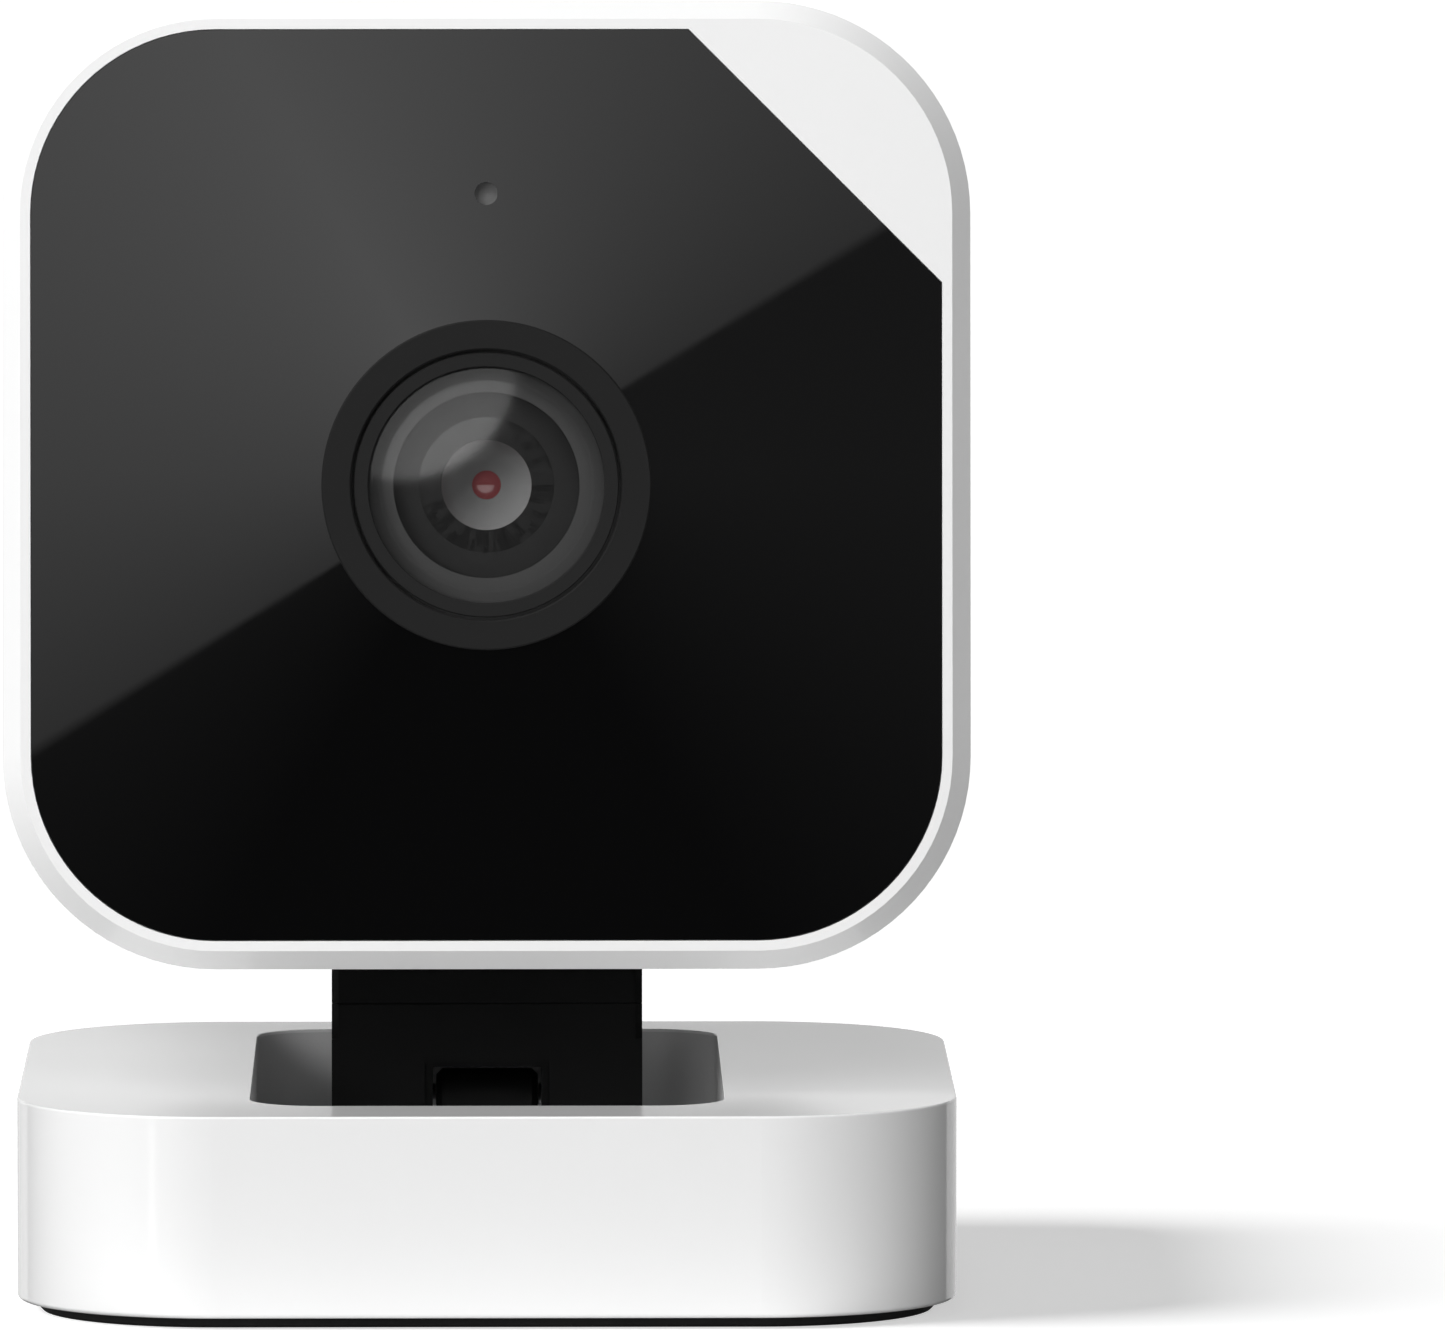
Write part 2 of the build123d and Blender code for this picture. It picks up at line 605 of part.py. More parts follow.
def make_neck_yoke():
    """The fork over the tilt knuckle: two ears, rounded under the pin, and a solid top."""
    yoke = neck_bar(0, YOKE_TOP)
    yoke += Rot(0, 90, 0) * Cylinder(NECK_THICKNESS / 2, NECK_WIDTH)
    # The upper part's four upright edges are bevelled, down to the level of the base's top.
    bevel_start = BASE_TOP - PIN_Z
    for x, y in four_corners(NECK_WIDTH / 2, NECK_THICKNESS / 2):
        leg = NECK_CHAMFER * 2**0.5
        bevel = Pos(x, y, 0) * Rot(0, 0, 45) * block(leg, leg, bevel_start, YOKE_TOP)
        yoke -= bevel
    yoke -= block(NOTCH_WIDTH, NECK_THICKNESS, -NECK_THICKNESS, NOTCH_TOP)
    lip_y = -(NECK_THICKNESS - NOTCH_LIP_DEPTH) / 2
    yoke -= block(NOTCH_LIP_WIDTH, NOTCH_LIP_DEPTH, -NECK_THICKNESS, NOTCH_LIP_TOP, 0, 0, lip_y)
    yoke -= Rot(0, 90, 0) * Cylinder(PIN_RADIUS, NECK_WIDTH)
    spigot = block(NECK_WIDTH - 0.6, NECK_THICKNESS - 0.6, YOKE_TOP, YOKE_TOP + NECK_SEAM)
    yoke += spigot
    yoke -= rod(1.4, 3.6, 5.35) + rod(2.2, 5.35, YOKE_TOP + NECK_SEAM)
    for x in (-6, 6):
        yoke -= rod(0.7, 3.6, YOKE_TOP + NECK_SEAM, x)
    return yoke


def make_neck_cap():
    """The upper block of the neck, which traps the swivel shaft's flange."""
    cap = neck_bar(YOKE_TOP + NECK_SEAM, NECK_TOP)
    upright = cap.edges().filter_by(Axis.Z)
    cap = chamfer(upright, NECK_CHAMFER)
    cap -= rod(SHAFT_RADIUS, YOKE_TOP, NECK_TOP)
    for x in (-6, 6):
        cap -= rod(0.8, YOKE_TOP, NECK_TOP, x) + rod(1.4, NECK_TOP - 0.9, NECK_TOP, x)
    return cap


def make_neck_screws():
    one = screw(1.3, 0.8, 0.7, 3.4)
    return [Pos(x, 0, NECK_TOP - 0.1) * one for x in (-6, 6)]


def make_hinge_pin():
    return Rot(0, 90, 0) * Cylinder(PIN_RADIUS, PIN_LENGTH)


def make_friction_washers():
    """Thin discs on the pin, against the inside of each ear."""
    thickness = 0.16
    middle = NOTCH_WIDTH / 2 - thickness / 2
    one = Cylinder(1.75, thickness) - Cylinder(PIN_RADIUS, thickness)
    return [Pos(side * middle, 0, 0) * Rot(0, 90, 0) * one for side in (-1, 1)]


# ---------------------------------------------------------------- base


def pocket_block(grow, low, high):
    """A block of the pocket's outline, grown by the given amount all round."""
    length = POCKET_REAR - POCKET_FRONT + 2 * grow
    middle = (POCKET_REAR + POCKET_FRONT) / 2
    return block(POCKET_WIDTH + 2 * grow, length, low, high, POCKET_CORNER + grow, y=middle)


def make_base_shell():
    """The square base's casing, open below, with the pocket's mouth in its top."""
    shell = block(BASE_SIZE, BASE_SIZE, FOOT_DROP, BASE_TOP, BASE_CORNER)
    shell = fillet(shell.faces().sort_by(Axis.Z)[-1].edges(), BASE_EDGE)
    shell = fillet(shell.faces().sort_by(Axis.Z)[0].edges(), 2 * BASE_EDGE)
    inner = BASE_SIZE - 2 * BASE_WALL
    hollow = block(inner, inner, FOOT_DROP, BASE_TOP - 1.6, BASE_CORNER - BASE_WALL)
    for x, y in four_corners(BASE_BOSS):
        hollow -= rod(2.3, PLATE_TOP, BASE_TOP, x, y)
    shell -= hollow
    shell -= pocket_block(POCKET_WALL, FOOT_DROP, BASE_TOP - POCKET_LEDGE)
    shell -= pocket_block(COLLAR_WALL, FOOT_DROP, BASE_TOP - POCKET_LIP)
    shell -= pocket_block(0, FOOT_DROP, BASE_TOP)
    mouth = shell.edges().filter_by(lambda e: abs(e.center().Z - BASE_TOP) < 1e-4)
    mouth = mouth.filter_by(lambda e: abs(e.center().X) < POCKET_WIDTH / 2 + 0.1)
    shell = fillet(mouth, POCKET_LIP / 2)
    for x, y in four_corners(BASE_BOSS):
        shell -= rod(0.9, PLATE_TOP, 7.6, x, y)
    return shell


def make_pocket_tub():
    """The tub that lines the pocket, with a slot in its floor for the knuckle."""
    tub = pocket_block(POCKET_WALL, POCKET_FLOOR - POCKET_SKIN, BASE_TOP - POCKET_LEDGE)
    tub += pocket_block(COLLAR_WALL, POCKET_FLOOR, BASE_TOP - POCKET_LIP)
    tub -= pocket_block(0, POCKET_FLOOR, BASE_TOP)
    return tub - block(KNUCKLE_WIDTH, 4.4, POCKET_FLOOR - POCKET_SKIN, POCKET_FLOOR, y=PIN_Y)


def make_base_plate():
    """The flat plate that closes the base's underside."""
    size = BASE_SIZE - 2 * BASE_WALL - 2 * PLATE_GAP
    plate = block(size, size, FOOT_DROP, PLATE_TOP, BASE_CORNER - BASE_WALL - PLATE_GAP)
    for x, y in four_corners(BASE_BOSS):
        plate -= rod(1.0, FOOT_DROP, PLATE_TOP, x, y) + rod(1.8, FOOT_DROP, FOOT_DROP + 0.6, x, y)
    return plate


def make_base_screws():
    one = Rot(180, 0, 0) * screw(1.7, 0.6, 0.9, 5.6)
    return [Pos(x, y, FOOT_DROP) * one for x, y in four_corners(BASE_BOSS)]


def make_foot_pad():
    """The soft pad stuck under the base."""
    size = BASE_SIZE - 2 * FOOT_INSET
    pad = block(size, size, 0, FOOT_DROP, BASE_CORNER - FOOT_INSET)
    return chamfer(pad.faces().sort_by(Axis.Z)[0].edges(), 0.15)


def make_base_weights():
    """Two steel bars, one each side of the pocket, that keep the camera from tipping."""
    return [block(8.0, 30.0, PLATE_TOP, 8.0, 0.8, side * 18.4) for side in (-1, 1)]


def make_hinge_bracket():
    """The knuckle that the neck tilts on: a barrel, its web and a foot under the pocket floor."""
    barrel = Rot(0, 90, 0) * Cylinder(KNUCKLE_RADIUS, KNUCKLE_WIDTH)
    barrel = chamfer(barrel.edges(), KNUCKLE_CHAMFER)
    web = block(KNUCKLE_WIDTH, 4.4, PLATE_TOP - PIN_Z, 0)
    foot = block(15.0, 8.0, PLATE_TOP - PIN_Z, POCKET_FLOOR - POCKET_SKIN - PIN_Z, 1.0)
    bracket = barrel + web + foot
    return bracket - Rot(0, 90, 0) * Cylinder(PIN_RADIUS + RUNNING_CLEARANCE, 2 * KNUCKLE_WIDTH)


# ---------------------------------------------------------------- assembly

BASE_PARTS = {
    "base_shell": make_base_shell,
    "pocket_tub": make_pocket_tub,
    "base_plate": make_base_plate,
    "base_screws": make_base_screws,
    "foot_pad": make_foot_pad,
    "base_weights": make_base_weights,
}

NECK_PARTS = {
    "hinge_pin": make_hinge_pin,
    "friction_washers": make_friction_washers,
    "neck_yoke": make_neck_yoke,
    "neck_cap": make_neck_cap,
    "neck_screws": make_neck_screws,
    "swivel_shaft": make_swivel_shaft,
    "swivel_washer": make_swivel_washer,
    "swivel_nut": make_swivel_nut,
    "swivel_bush": make_swivel_bush,
}

FACE_PARTS = {
    "housing": make_housing,
    "rear_cover": make_rear_cover,
    "cover_gasket": gasket_ring,
    "cover_screws": make_cover_screws,
    "front_window": make_window,
    "mic_gauze": make_mic_gauze,
    "lens_bezel": make_lens_bezel,
    "lens_retainer": make_lens_retainer,
    "lens_dome": make_lens_dome,
    "lens_baffle": make_lens_baffle,
    "lens_barrel": make_lens_barrel,
    "lens_front_element": make_front_element,
    "lens_iris": make_iris,
    "infrared_filter": make_filter,
    "lens_rear_element": make_rear_element,
    "lens_holder": make_lens_holder,
    "image_sensor": make_image_sensor,
    "sensor_board": make_sensor_board,
    "sensor_screws": make_sensor_screws,
    "sensor_flex": make_sensor_flex,
    "flex_sockets": make_flex_sockets,
    "led_board": make_led_board,
    "infrared_leds": make_ir_leds,
    "status_light": make_status_light,
    "light_sensor": make_light_sensor,
    "microphone": make_microphone,
    "main_board": make_main_board,
    "board_screws": make_board_screws,
    "processor": make_processor,
    "memory_chips": make_memory_chips,
    "heat_spreader": make_heat_spreader,
    "radio_shield": make_radio_shield,
    "wifi_antenna": make_antenna,
    "speaker": make_speaker,
    "speaker_cone": make_speaker_cone,
    "speaker_gasket": make_speaker_gasket,
    "speaker_mesh": make_speaker_mesh,
    "usb_port": make_usb_port,
    "usb_tongue": make_usb_tongue,
    "button_switch": make_button_switch,
    "setup_button": make_setup_button,
}


def export(name, shape, frame):
    pieces = shape if isinstance(shape, list) else [shape]
    placed = [frame * solid for piece in pieces for solid in piece.solids()]
    result = placed[0] if len(placed) == 1 else Compound(children=placed)
    export_step(result, f"parts/{name}.step")


def main():
    os.makedirs("parts", exist_ok=True)
    for name, make in BASE_PARTS.items():
        export(name, make(), Location())
    export("hinge_bracket", make_hinge_bracket(), Location((0, PIN_Y, PIN_Z)))
    for name, make in NECK_PARTS.items():
        export(name, make(), PIN_FRAME)
    for name, make in FACE_PARTS.items():
        export(name, make(), FACE_FRAME)


main()
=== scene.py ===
"""Looks for the desk security camera: materials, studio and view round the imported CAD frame."""
import math

import bpy
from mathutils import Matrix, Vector


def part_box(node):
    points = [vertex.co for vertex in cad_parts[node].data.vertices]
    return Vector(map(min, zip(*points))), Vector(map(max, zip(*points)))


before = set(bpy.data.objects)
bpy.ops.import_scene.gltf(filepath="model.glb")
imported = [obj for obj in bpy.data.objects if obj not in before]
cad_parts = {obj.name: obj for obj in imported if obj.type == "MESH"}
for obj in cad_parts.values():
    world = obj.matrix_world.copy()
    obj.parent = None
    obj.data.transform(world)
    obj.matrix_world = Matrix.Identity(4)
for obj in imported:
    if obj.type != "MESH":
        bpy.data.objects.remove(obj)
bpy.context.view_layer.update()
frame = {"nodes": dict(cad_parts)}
nodes = frame["nodes"]

# ------------------------------------------------------------------ the view, in metres

CAMERA_DISTANCE = 1.0569  # from the base's front face
CAMERA_HEIGHT = 0.1235  # above the desk
LENS_MM = 498.2
SENSOR_MM = 36.0
# Where the head's centre stands in the picture, as a share of its width from its middle.
HEAD_LEFT = 0.1638
HEAD_UP = 0.1281
CLIP_NEAR = 0.01
CLIP_FAR = 20


# ------------------------------------------------------------------ node helpers


def new_material(name):
    material = bpy.data.materials.new(name)
    material.use_nodes = True
    return material


def shader_of(material):
    return material.node_tree.nodes["Principled BSDF"]


def join(material, source, target):
    material.node_tree.links.new(source, target)


def object_coordinates(material):
    return material.node_tree.nodes.new("ShaderNodeTexCoord").outputs["Object"]


def noise(material, scale, detail=3.0, roughness=0.5):
    """Noise in object space; scale is in cycles per metre."""
    node = material.node_tree.nodes.new("ShaderNodeTexNoise")
    node.inputs["Scale"].default_value = scale
    node.inputs["Detail"].default_value = detail
    node.inputs["Roughness"].default_value = roughness
    join(material, object_coordinates(material), node.inputs["Vector"])
    return node.outputs["Fac"]


def spread(material, value, low, high):
    """Maps noise to a range of values."""
    node = material.node_tree.nodes.new("ShaderNodeMapRange")
    node.inputs["From Min"].default_value = 0.3
    node.inputs["From Max"].default_value = 0.7
    node.inputs["To Min"].default_value = low
    node.inputs["To Max"].default_value = high
    join(material, value, node.inputs["Value"])
    return node.outputs["Result"]


def tint(material, value, dark, light):
    """Maps noise to a colour between two near shades."""
    node = material.node_tree.nodes.new("ShaderNodeValToRGB")
    node.color_ramp.elements[0].position = 0.3
    node.color_ramp.elements[0].color = (*dark, 1)
    node.color_ramp.elements[1].position = 0.7
    node.color_ramp.elements[1].color = (*light, 1)
    join(material, value, node.inputs["Fac"])
    return node.outputs["Color"]


def grain(material, height, depth, strength=0.5):
    """Bump from a height texture; depth is in metres."""
    node = material.node_tree.nodes.new("ShaderNodeBump")
    node.inputs["Strength"].default_value = strength
    node.inputs["Distance"].default_value = depth
    join(material, height, node.inputs["Height"])
    join(material, node.outputs["Normal"], shader_of(material).inputs["Normal"])


def moulded(name, colour, roughness, grain_per_m, grain_depth, vary=0.04, gloss_vary=0.05):
    """Moulded plastic: a fine surface grain, and colour and gloss that drift a little."""
    material = new_material(name)
    shader = shader_of(material)
    shader.inputs["IOR"].default_value = 1.5
    drift = noise(material, 90)
    dark = tuple(c * (1 - vary) for c in colour)
    join(material, tint(material, drift, dark, colour), shader.inputs["Base Color"])
    fine = noise(material, grain_per_m, 4.0, 0.6)
    rough = spread(material, fine, roughness - gloss_vary, roughness + gloss_vary)
    join(material, rough, shader.inputs["Roughness"])
    grain(material, fine, grain_depth)
    return material


def metal(name, colour, roughness, stretch=1.0):
    """Metal with fine scratches; stretch draws them out along Z, as brushing does."""
    material = new_material(name)
    shader = shader_of(material)
    shader.inputs["Metallic"].default_value = 1.0
    mapping = material.node_tree.nodes.new("ShaderNodeMapping")
    mapping.inputs["Scale"].default_value = (stretch, stretch, 1)
    join(material, object_coordinates(material), mapping.inputs["Vector"])
    lines = material.node_tree.nodes.new("ShaderNodeTexNoise")
    lines.inputs["Scale"].default_value = 600.0
    lines.inputs["Detail"].default_value = 5.0
    join(material, mapping.outputs["Vector"], lines.inputs["Vector"])
    scratches = lines.outputs["Fac"]
    dark = tuple(c * 0.82 for c in colour)
    join(material, tint(material, scratches, dark, colour), shader.inputs["Base Color"])
    rough = spread(material, scratches, roughness * 0.8, roughness * 1.3)
    join(material, rough, shader.inputs["Roughness"])
    grain(material, scratches, 0.000004, 0.4)
    return material


# ------------------------------------------------------------------ materials


def white_casing():
    """Satin white plastic under a clear gloss coat."""
    material = moulded("white_casing", (0.86, 0.86, 0.86), 0.45, 9000, 0.000002, vary=0.012)
    shader = shader_of(material)
    shader.inputs["Coat Weight"].default_value = 1.0
    shader.inputs["Coat Roughness"].default_value = 0.1
    return material


def pocket_plastic():
    """Unpolished plastic with a coarse spark-eroded texture."""
    return moulded("pocket_plastic", (0.68, 0.68, 0.68), 0.6, 5000, 0.00003, vary=0.15)


def black_plastic():
    material = moulded("black_plastic", (0.002, 0.002, 0.002), 0.45, 7000, 0.000006, vary=0.2)
    shader_of(material).inputs["Specular IOR Level"].default_value = 0.35
    return material


def smoked_window():
    """Polished smoked acrylic, nearly black, with a faint waviness."""
    colour = (0.0008, 0.0008, 0.0009)
    return moulded(
        "smoked_window", colour, 0.008, 300, 0.00000005, vary=0.1, gloss_vary=0.004
    )


def matt_trim(name, level, roughness=0.5):
    """Blackened lens metal; level is its grey."""
    material = moulded(name, (level, level, level), roughness, 8000, 0.000005, vary=0.06)
    shader_of(material).inputs["Specular IOR Level"].default_value = 0.2
    return material


def iris_bowl():
    """Turned grey metal, satin, which catches the light on its far wall."""
    material = matt_trim("iris_bowl", 0.16, 0.4)
    shader_of(material).inputs["Metallic"].default_value = 0.25
    return material


def clear_glass(name, ior):
    """Thin coated glass: clear straight through, with Fresnel reflections and faint smears."""
    material = new_material(name)
    parts = material.node_tree.nodes
    parts.clear()
    output = parts.new("ShaderNodeOutputMaterial")
    through = parts.new("ShaderNodeBsdfTransparent")
    through.inputs["Color"].default_value = (1, 1, 1, 1)
    gloss = parts.new("ShaderNodeBsdfGlossy")
    smears = noise(material, 700, 4.0)
    join(material, spread(material, smears, 0.12, 0.16), gloss.inputs["Roughness"])
    fresnel = parts.new("ShaderNodeFresnel")
    fresnel.inputs["IOR"].default_value = ior
    mix = parts.new("ShaderNodeMixShader")
    join(material, fresnel.outputs["Fac"], mix.inputs["Fac"])
    join(material, through.outputs["BSDF"], mix.inputs[1])
    join(material, gloss.outputs["BSDF"], mix.inputs[2])
    join(material, mix.outputs["Shader"], output.inputs["Surface"])
    return material


def red_filter():
    """Filter glass with a faint painted red glow: an emission that stands in for the red
    reflection from the filter and the sensor behind it, though the filter is no lamp.
    """
    material = moulded("red_filter", (0.12, 0.03, 0.032), 0.45, 6000, 0.000001, vary=0.06)
    shader = shader_of(material)
    shader.inputs["Specular IOR Level"].default_value = 0.0
    # Painted reflection: this faint red emission stands in for the red light the filter throws
    # back.
    shader.inputs["Emission Color"].default_value = (0.16, 0.045, 0.048, 1)
    shader.inputs["Emission Strength"].default_value = 0.4
    return material


def gauze():
    """Woven acoustic gauze: a fine square weave."""
    material = new_material("gauze")
    shader = shader_of(material)
    bands = []
    for axis in ("X", "Z"):
        wave = material.node_tree.nodes.new("ShaderNodeTexWave")
        wave.bands_direction = axis
        wave.inputs["Scale"].default_value = 3200.0
        join(material, object_coordinates(material), wave.inputs["Vector"])
        bands.append(wave.outputs["Fac"])
    crossing = material.node_tree.nodes.new("ShaderNodeMath")
    crossing.operation = "MULTIPLY"
    join(material, bands[0], crossing.inputs[0])
    join(material, bands[1], crossing.inputs[1])
    height = crossing.outputs["Value"]
    weave = tint(material, height, (0.1, 0.1, 0.1), (0.2, 0.2, 0.2))
    join(material, weave, shader.inputs["Base Color"])
    join(material, spread(material, height, 0.45, 0.6), shader.inputs["Roughness"])
    grain(material, height, 0.00001)
    return material


def circuit_board():
    """Green solder mask over faint straight tracks."""
    material = new_material("circuit_board")
    shader = shader_of(material)
    cells = material.node_tree.nodes.new("ShaderNodeTexBrick")
    cells.inputs["Scale"].default_value = 160.0
    cells.inputs["Color1"].default_value = (0.012, 0.11, 0.05, 1)
    cells.inputs["Color2"].default_value = (0.015, 0.14, 0.06, 1)
    cells.inputs["Mortar"].default_value = (0.03, 0.2, 0.09, 1)
    cells.inputs["Mortar Size"].default_value = 0.03
    join(material, object_coordinates(material), cells.inputs["Vector"])
    join(material, cells.outputs["Color"], shader.inputs["Base Color"])
    fine = noise(material, 3000)
    join(material, spread(material, fine, 0.25, 0.4), shader.inputs["Roughness"])
    grain(material, cells.outputs["Fac"], 0.00002, 0.3)
    return material


def lamp_plastic():
    """Milky lamp caps."""
    material = moulded("lamp_plastic", (0.75, 0.72, 0.62), 0.15, 2000, 0.000001, vary=0.1)
    shader_of(material).inputs["Coat Weight"].default_value = 0.5
    return material


# Light would stop in so many layers of glass, so these cast no shadow on what lies behind them.
CLEAR_NODES = ["lens_dome", "lens_front_element", "lens_rear_element"]


def dress_nodes():
    """Gives each CAD node its material."""
    finish = {
        white_casing(): ["base_shell", "housing", "rear_cover"],
        pocket_plastic(): ["pocket_tub"],
        black_plastic(): ["neck_yoke", "neck_cap", "hinge_bracket", "base_plate"],
        moulded("button_plastic", (0.1, 0.1, 0.105), 0.45, 6000, 0.00001): ["setup_button"],
        smoked_window(): ["front_window"],
        matt_trim("bezel_black", 0.0145): ["lens_bezel", "lens_holder"],
        matt_trim("retainer_black", 0.016): ["lens_retainer"],
        matt_trim("baffle_grey", 0.08): ["lens_baffle"],
        matt_trim("barrel_black", 0.026): ["lens_barrel"],
        iris_bowl(): ["lens_iris"],
        clear_glass("dome_glass", 1.62): ["lens_dome"],
        clear_glass("coated_glass", 1.85): ["lens_front_element", "lens_rear_element"],
        red_filter(): ["infrared_filter"],
        gauze(): ["mic_gauze", "speaker_mesh"],
        moulded("foot_rubber", (0.02, 0.02, 0.02), 0.8, 6000, 0.00002, vary=0.3): [
            "foot_pad", "cover_gasket", "speaker_gasket",
        ],
        metal("steel", (0.56, 0.56, 0.57), 0.3, 12.0): [
            "hinge_pin", "friction_washers", "base_weights", "swivel_shaft", "swivel_washer",
            "swivel_nut", "radio_shield", "usb_port", "microphone", "speaker",
        ],
        metal("zinc", (0.62, 0.63, 0.65), 0.28): [
            "base_screws", "cover_screws", "neck_screws", "sensor_screws", "board_screws",
        ],
        metal("mill_aluminium", (0.78, 0.78, 0.79), 0.35, 20.0): ["heat_spreader"],
        moulded("acetal", (0.75, 0.73, 0.66), 0.4, 4000, 0.000005): ["swivel_bush"],
        circuit_board(): ["sensor_board", "led_board", "main_board"],
        moulded("chip_epoxy", (0.012, 0.012, 0.013), 0.5, 9000, 0.00001, vary=0.2): [
            "processor", "memory_chips", "image_sensor", "light_sensor", "button_switch",
            "flex_sockets", "usb_tongue",
        ],
        lamp_plastic(): ["infrared_leds", "status_light"],
        moulded("polyimide", (0.45, 0.2, 0.03), 0.25, 1200, 0.000004, vary=0.25): [
            "sensor_flex", "wifi_antenna",
        ],
        moulded("cone_film", (0.05, 0.05, 0.05), 0.5, 3000, 0.00001): ["speaker_cone"],
    }
    for material, members in finish.items():
        for name in members:
            slots = nodes[name].data.materials
            slots.clear()
            slots.append(material)
    for name in CLEAR_NODES:
        nodes[name].visible_shadow = False


# ------------------------------------------------------------------ studio

HEAD_MIDDLE = Vector((0, -0.012, 0.044))

# Soft lights: the way to each from the head's middle, its distance, width and height in metres,
# the brightness that a mirror would show, and what it lights. "all" also shows in reflections,
# "object" gives light without them, "casing" gives the white plastic only a reflection, and
# "iris" reaches nothing but the bowl behind the lens.
LIGHTS = {
    "key": ((-0.46, -0.56, 0.69), 0.6, 0.95, 0.95, 0.85, "all"),
    "front": ((-0.48, -0.84, 0.26), 0.9, 0.5, 0.5, 4.5, "object"),
    "front_left": ((-0.83, -0.48, 0.3), 0.9, 0.5, 0.5, 0.75, "object"),
    "left": ((-0.98, 0.1, 0.2), 0.9, 0.4, 0.4, 0.5, "object"),
    "left_high": ((-0.6, -0.1, 0.8), 0.8, 0.5, 0.5, 5.3, "object"),
    "top_front": ((0, -0.7, 0.7), 0.8, 0.5, 0.5, 2.5, "object"),
    "camera_fill": ((0.1, -1.0, 0.05), 1.3, 0.5, 0.5, 2.3, "object"),
    "right_front": ((0.6, -0.8, 0.2), 0.9, 0.4, 0.4, 1.0, "object"),
    "back": ((0.25, 0.96, 0.08), 0.9, 0.5, 0.5, 1.8, "object"),
    "lens_glint": ((-0.6, -0.5, 0.62), 0.6, 0.2, 0.2, 50.0, "iris"),
    "left_strip": ((-0.6, -0.8, 0.0), 0.7, 0.05, 0.6, 1.4, "casing"),
}
# The nodes that a light is kept to. Lights not named here reach every node.
RECEIVERS = {
    "casing": ["base_shell", "housing", "rear_cover"],
    "iris": ["lens_iris"],
}
BASE_NODES = ["base_shell", "base_plate", "foot_pad"]


def node_set(name, members):
    group = bpy.data.collections.new(name)
    for member in members:
        group.objects.link(member)
    return group


def light_only(source, members):
    source.light_linking.receiver_collection = node_set(source.name + "_lights", members)


def aim(obj, target):
    obj.rotation_mode = "QUATERNION"
    obj.rotation_quaternion = (target - obj.location).to_track_quat("-Z", "Y")


def area_light(name, width, height, brightness):
    """A light that a mirror would show at this brightness: a disk if it is as wide as high."""
    data = bpy.data.lights.new(name, "AREA")
    data.shape = "DISK" if width == height else "RECTANGLE"
    data.size = width
    data.size_y = height
    filled = math.pi / 4 if width == height else 1
    data.energy = brightness * math.pi * width * height * filled
    light = bpy.data.objects.new(name, data)
    bpy.context.scene.collection.objects.link(light)
    light.visible_camera = False
    return light


def softbox(name, way, distance, width, height, brightness, lights):
    """A studio light aimed at the head's middle; see LIGHTS."""
    light = area_light(name, width, height, brightness)
    light.location = HEAD_MIDDLE + Vector(way).normalized() * distance
    aim(light, HEAD_MIDDLE)
    light.visible_glossy = lights in ("all", "casing")
    light.visible_diffuse = lights != "casing"
    light.visible_transmission = False
    members = [nodes[node] for node in RECEIVERS.get(lights, nodes)]
    if lights != "iris":
        members.append(bpy.data.objects["floor_bounce"])
    light_only(light, members)


FLOOR_SUN = 4.6
FLOOR_SUN_WAY = (-1, -0.2)
FLOOR_SUN_ELEVATION = math.radians(26)
FLOOR_SUN_SOFTNESS = math.radians(36)


def floor_sun():
    """An even soft light from the left for the floor alone, which only the base shades."""
    data = bpy.data.lights.new("floor_sun", "SUN")
    data.energy = FLOOR_SUN
    data.angle = FLOOR_SUN_SOFTNESS
    sun = bpy.data.objects.new("floor_sun", data)
    bpy.context.scene.collection.objects.link(sun)
    way = Vector((*FLOOR_SUN_WAY, math.tan(FLOOR_SUN_ELEVATION)))
    sun.location = HEAD_MIDDLE + way
    aim(sun, HEAD_MIDDLE)
    light_only(sun, [bpy.data.objects["floor"]])
    shades = [nodes[node] for node in BASE_NODES]
    sun.light_linking.blocker_collection = node_set("floor_sun_shades", shades)


FOOT_GLOW = 0.5
FOOT_GLOW_DEPTH = 0.006
FOOT_GLOW_HEIGHT = 0.0003


def foot_light():
    """A narrow light on the floor along the base's front, for the glow at the foot of its wall."""
    base_low, base_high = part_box("base_shell")
    light = area_light("foot_light", base_high[0] - base_low[0], FOOT_GLOW_DEPTH, FOOT_GLOW)
    light.location = (0, base_low[1] - FOOT_GLOW_DEPTH / 2, FOOT_GLOW_HEIGHT)
    light.rotation_euler = (math.pi, 0, 0)
    light.visible_glossy = False


def flat_sheet(name, width, height, place, upright):
    """A rectangle in metres, lying flat or standing across the view, that isn't the object's."""
    mesh = bpy.data.meshes.new(name)
    x, y = width / 2, height / 2
    if upright:
        corners = [(-x, 0, -y), (x, 0, -y), (x, 0, y), (-x, 0, y)]
    else:
        corners = [(-x, -y, 0), (x, -y, 0), (x, y, 0), (-x, y, 0)]
    mesh.from_pydata(corners, [], [(0, 1, 2, 3)])
    sheet = bpy.data.objects.new(name, mesh)
    sheet.location = place
    bpy.context.scene.collection.objects.link(sheet)
    return sheet


def show_to(sheet, camera=False, diffuse=False, glossy=False, shadow=False):
    """Says which rays meet a sheet, so that each one does a single job."""
    sheet.visible_camera = camera
    sheet.visible_diffuse = diffuse
    sheet.visible_glossy = glossy
    sheet.visible_transmission = False
    sheet.visible_shadow = shadow


PAPER_DRIFT = 0.99


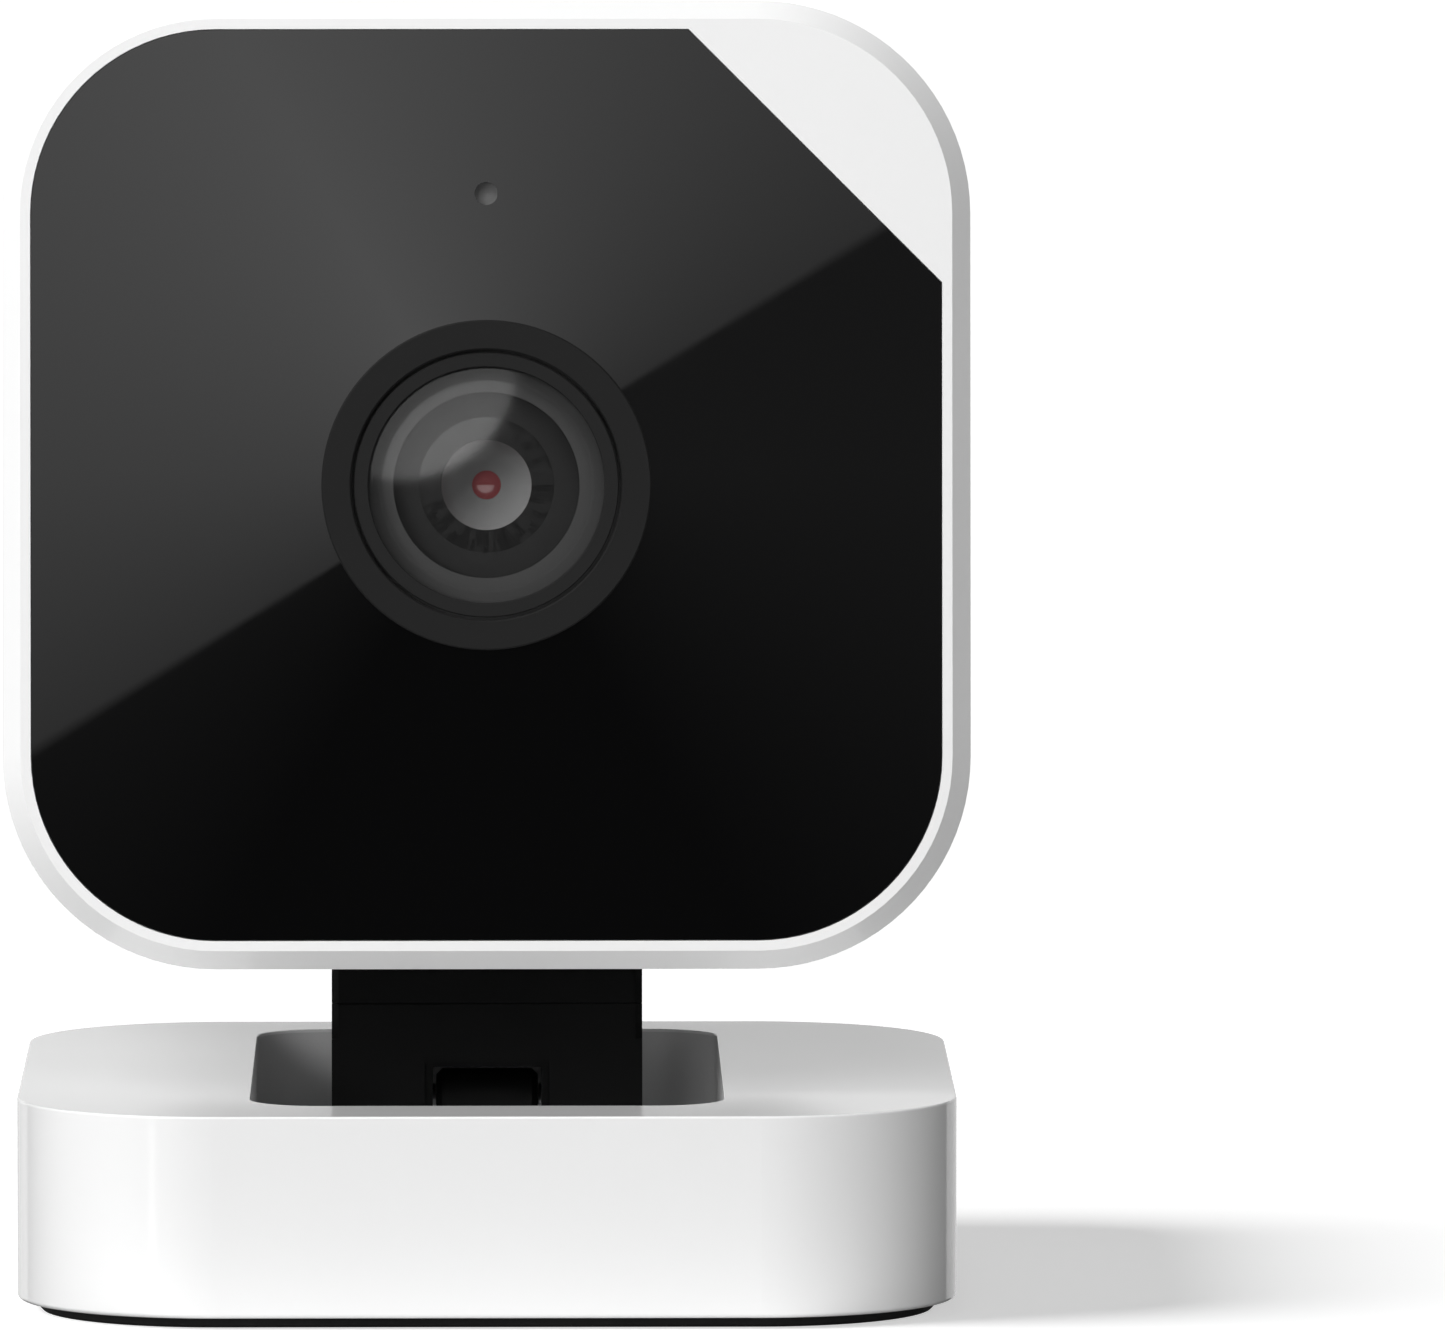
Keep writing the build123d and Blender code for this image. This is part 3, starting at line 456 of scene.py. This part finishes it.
def paper(name, level, glow):
    """Pale studio paper; glow is its own light, which keeps it white."""
    material = new_material(name)
    shader = shader_of(material)
    fibres = noise(material, 400, 4.0)
    dark = (level * PAPER_DRIFT,) * 3
    join(material, tint(material, fibres, dark, (level,) * 3), shader.inputs["Base Color"])
    shader.inputs["Roughness"].default_value = 0.9
    shader.inputs["Specular IOR Level"].default_value = 0.1
    shader.inputs["Emission Color"].default_value = (1, 1, 1, 1)
    shader.inputs["Emission Strength"].default_value = glow
    return material


FLOOR_SIZE = 12.0
FLOOR_LEVEL = 0.8
FLOOR_GLOW = 0.54
BOUNCE_LEVEL = 0.4
BOUNCE_DROP = 0.0005  # keeps the two floors apart
BACKDROP_GLOW = 0.77
BACKDROP_WIDTH = 2.4
BACKDROP_HEIGHT = 0.8
BACKDROP_PLACE = (0, 1.5, 0.02)


def make_floor_and_backdrop():
    """A white floor to look at, a dimmer one to bounce light, and a backdrop to reflect."""
    floor = flat_sheet("floor", FLOOR_SIZE, FLOOR_SIZE, (0, 0, 0), False)
    floor.data.materials.append(paper("floor_paper", FLOOR_LEVEL, FLOOR_GLOW))
    show_to(floor, camera=True)
    bounce = flat_sheet("floor_bounce", FLOOR_SIZE, FLOOR_SIZE, (0, 0, -BOUNCE_DROP), False)
    bounce.data.materials.append(paper("bounce_paper", BOUNCE_LEVEL, 0.0))
    show_to(bounce, diffuse=True, shadow=True)
    backdrop = flat_sheet("backdrop", BACKDROP_WIDTH, BACKDROP_HEIGHT, BACKDROP_PLACE, True)
    backdrop.data.materials.append(paper("backdrop_paper", 0.0, BACKDROP_GLOW))
    show_to(backdrop, glossy=True)


# The glow of the card behind the camera, as the window shows it, by degrees anticlockwise from
# the right. A straight edge through the lens axis parts a lit side, brightest at its upper left,
# from a dim side.
CARD_TONES = (
    (-180, 0.045), (-149, 0.025),
    (-148, 0.005), (-120, 0.002), (-60, 0.002), (0, 0.0075), (31, 0.0075),
    (32, 0.025), (120, 0.07), (180, 0.045),
)
CARD_RAMP_SCALE = 10.0
WINDOW_REFLECTANCE = 0.04
CARD_SIZE = 0.4
CARD_GAP = 0.004


def fill_ramp(ramp):
    """Puts the card's tones on a colour ramp, scaled up to fill its range."""
    while len(ramp.elements) > 1:
        ramp.elements.remove(ramp.elements[-1])
    for index, (degrees, level) in enumerate(CARD_TONES):
        place = (degrees + 180) / 360
        element = ramp.elements[0] if index == 0 else ramp.elements.new(place)
        element.position = place
        element.color = (*(level * CARD_RAMP_SCALE,) * 3, 1)


def reflector_card():
    """A glowing card behind the camera that the polished window reflects."""
    place = camera_place() - Vector((0, CARD_GAP, 0))
    card = flat_sheet("card", CARD_SIZE, CARD_SIZE, place, True)
    material = new_material("card_glow")
    parts = material.node_tree.nodes
    apart = parts.new("ShaderNodeSeparateXYZ")
    angle = parts.new("ShaderNodeMath")
    angle.operation = "ARCTAN2"
    turn = parts.new("ShaderNodeMapRange")
    turn.inputs["From Min"].default_value = -math.pi
    turn.inputs["From Max"].default_value = math.pi
    ramp = parts.new("ShaderNodeValToRGB")
    fill_ramp(ramp.color_ramp)
    join(material, object_coordinates(material), apart.inputs[0])
    join(material, apart.outputs["Z"], angle.inputs[0])
    join(material, apart.outputs["X"], angle.inputs[1])
    join(material, angle.outputs[0], turn.inputs["Value"])
    join(material, turn.outputs["Result"], ramp.inputs["Fac"])
    shader = shader_of(material)
    shader.inputs["Base Color"].default_value = (0, 0, 0, 1)
    shader.inputs["Specular IOR Level"].default_value = 0.0
    join(material, ramp.outputs["Color"], shader.inputs["Emission Color"])
    shader.inputs["Emission Strength"].default_value = 1 / WINDOW_REFLECTANCE / CARD_RAMP_SCALE
    card.data.materials.append(material)
    show_to(card, glossy=True)
    light_only(card, [nodes["front_window"]])


AMBIENT = 0.05


def make_world():
    """White where the camera sees it, and a dim even light for the object."""
    world = bpy.data.worlds.new("studio")
    bpy.context.scene.world = world
    world.use_nodes = True
    tree = world.node_tree
    tree.nodes.clear()
    output = tree.nodes.new("ShaderNodeOutputWorld")
    seen = tree.nodes.new("ShaderNodeBackground")
    seen.inputs["Color"].default_value = (1, 1, 1, 1)
    fill = tree.nodes.new("ShaderNodeBackground")
    fill.inputs["Color"].default_value = (1, 1, 1, 1)
    fill.inputs["Strength"].default_value = AMBIENT
    path = tree.nodes.new("ShaderNodeLightPath")
    mix = tree.nodes.new("ShaderNodeMixShader")
    tree.links.new(path.outputs["Is Camera Ray"], mix.inputs["Fac"])
    tree.links.new(fill.outputs[0], mix.inputs[1])
    tree.links.new(seen.outputs[0], mix.inputs[2])
    tree.links.new(mix.outputs[0], output.inputs["Surface"])


# ------------------------------------------------------------------ camera


def camera_place():
    base_low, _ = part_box("base_shell")
    return Vector((0, base_low[1] - CAMERA_DISTANCE, CAMERA_HEIGHT))


def head_centre():
    """The middle of the window."""
    low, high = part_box("front_window")
    return (Vector(low) + Vector(high)) / 2


def make_camera():
    data = bpy.data.cameras.new("camera")
    data.lens = LENS_MM
    data.sensor_width = SENSOR_MM
    data.clip_start = CLIP_NEAR
    data.clip_end = CLIP_FAR
    camera = bpy.data.objects.new("camera", data)
    camera.location = camera_place()
    bpy.context.scene.collection.objects.link(camera)
    bpy.context.scene.camera = camera
    towards = head_centre() - camera.location
    yaw = math.atan2(towards.x, towards.y)
    pitch = math.atan2(towards.z, towards.y)
    frame_share = SENSOR_MM / LENS_MM
    yaw += math.atan(HEAD_LEFT * frame_share)
    pitch -= math.atan(HEAD_UP * frame_share)
    camera.rotation_euler = (math.pi / 2 + pitch, 0, -yaw)


bpy.context.scene.view_settings.view_transform = "Standard"
make_camera()
dress_nodes()
make_floor_and_backdrop()
for light_name, settings in LIGHTS.items():
    softbox(light_name, *settings)
foot_light()
floor_sun()
reflector_card()
make_world()
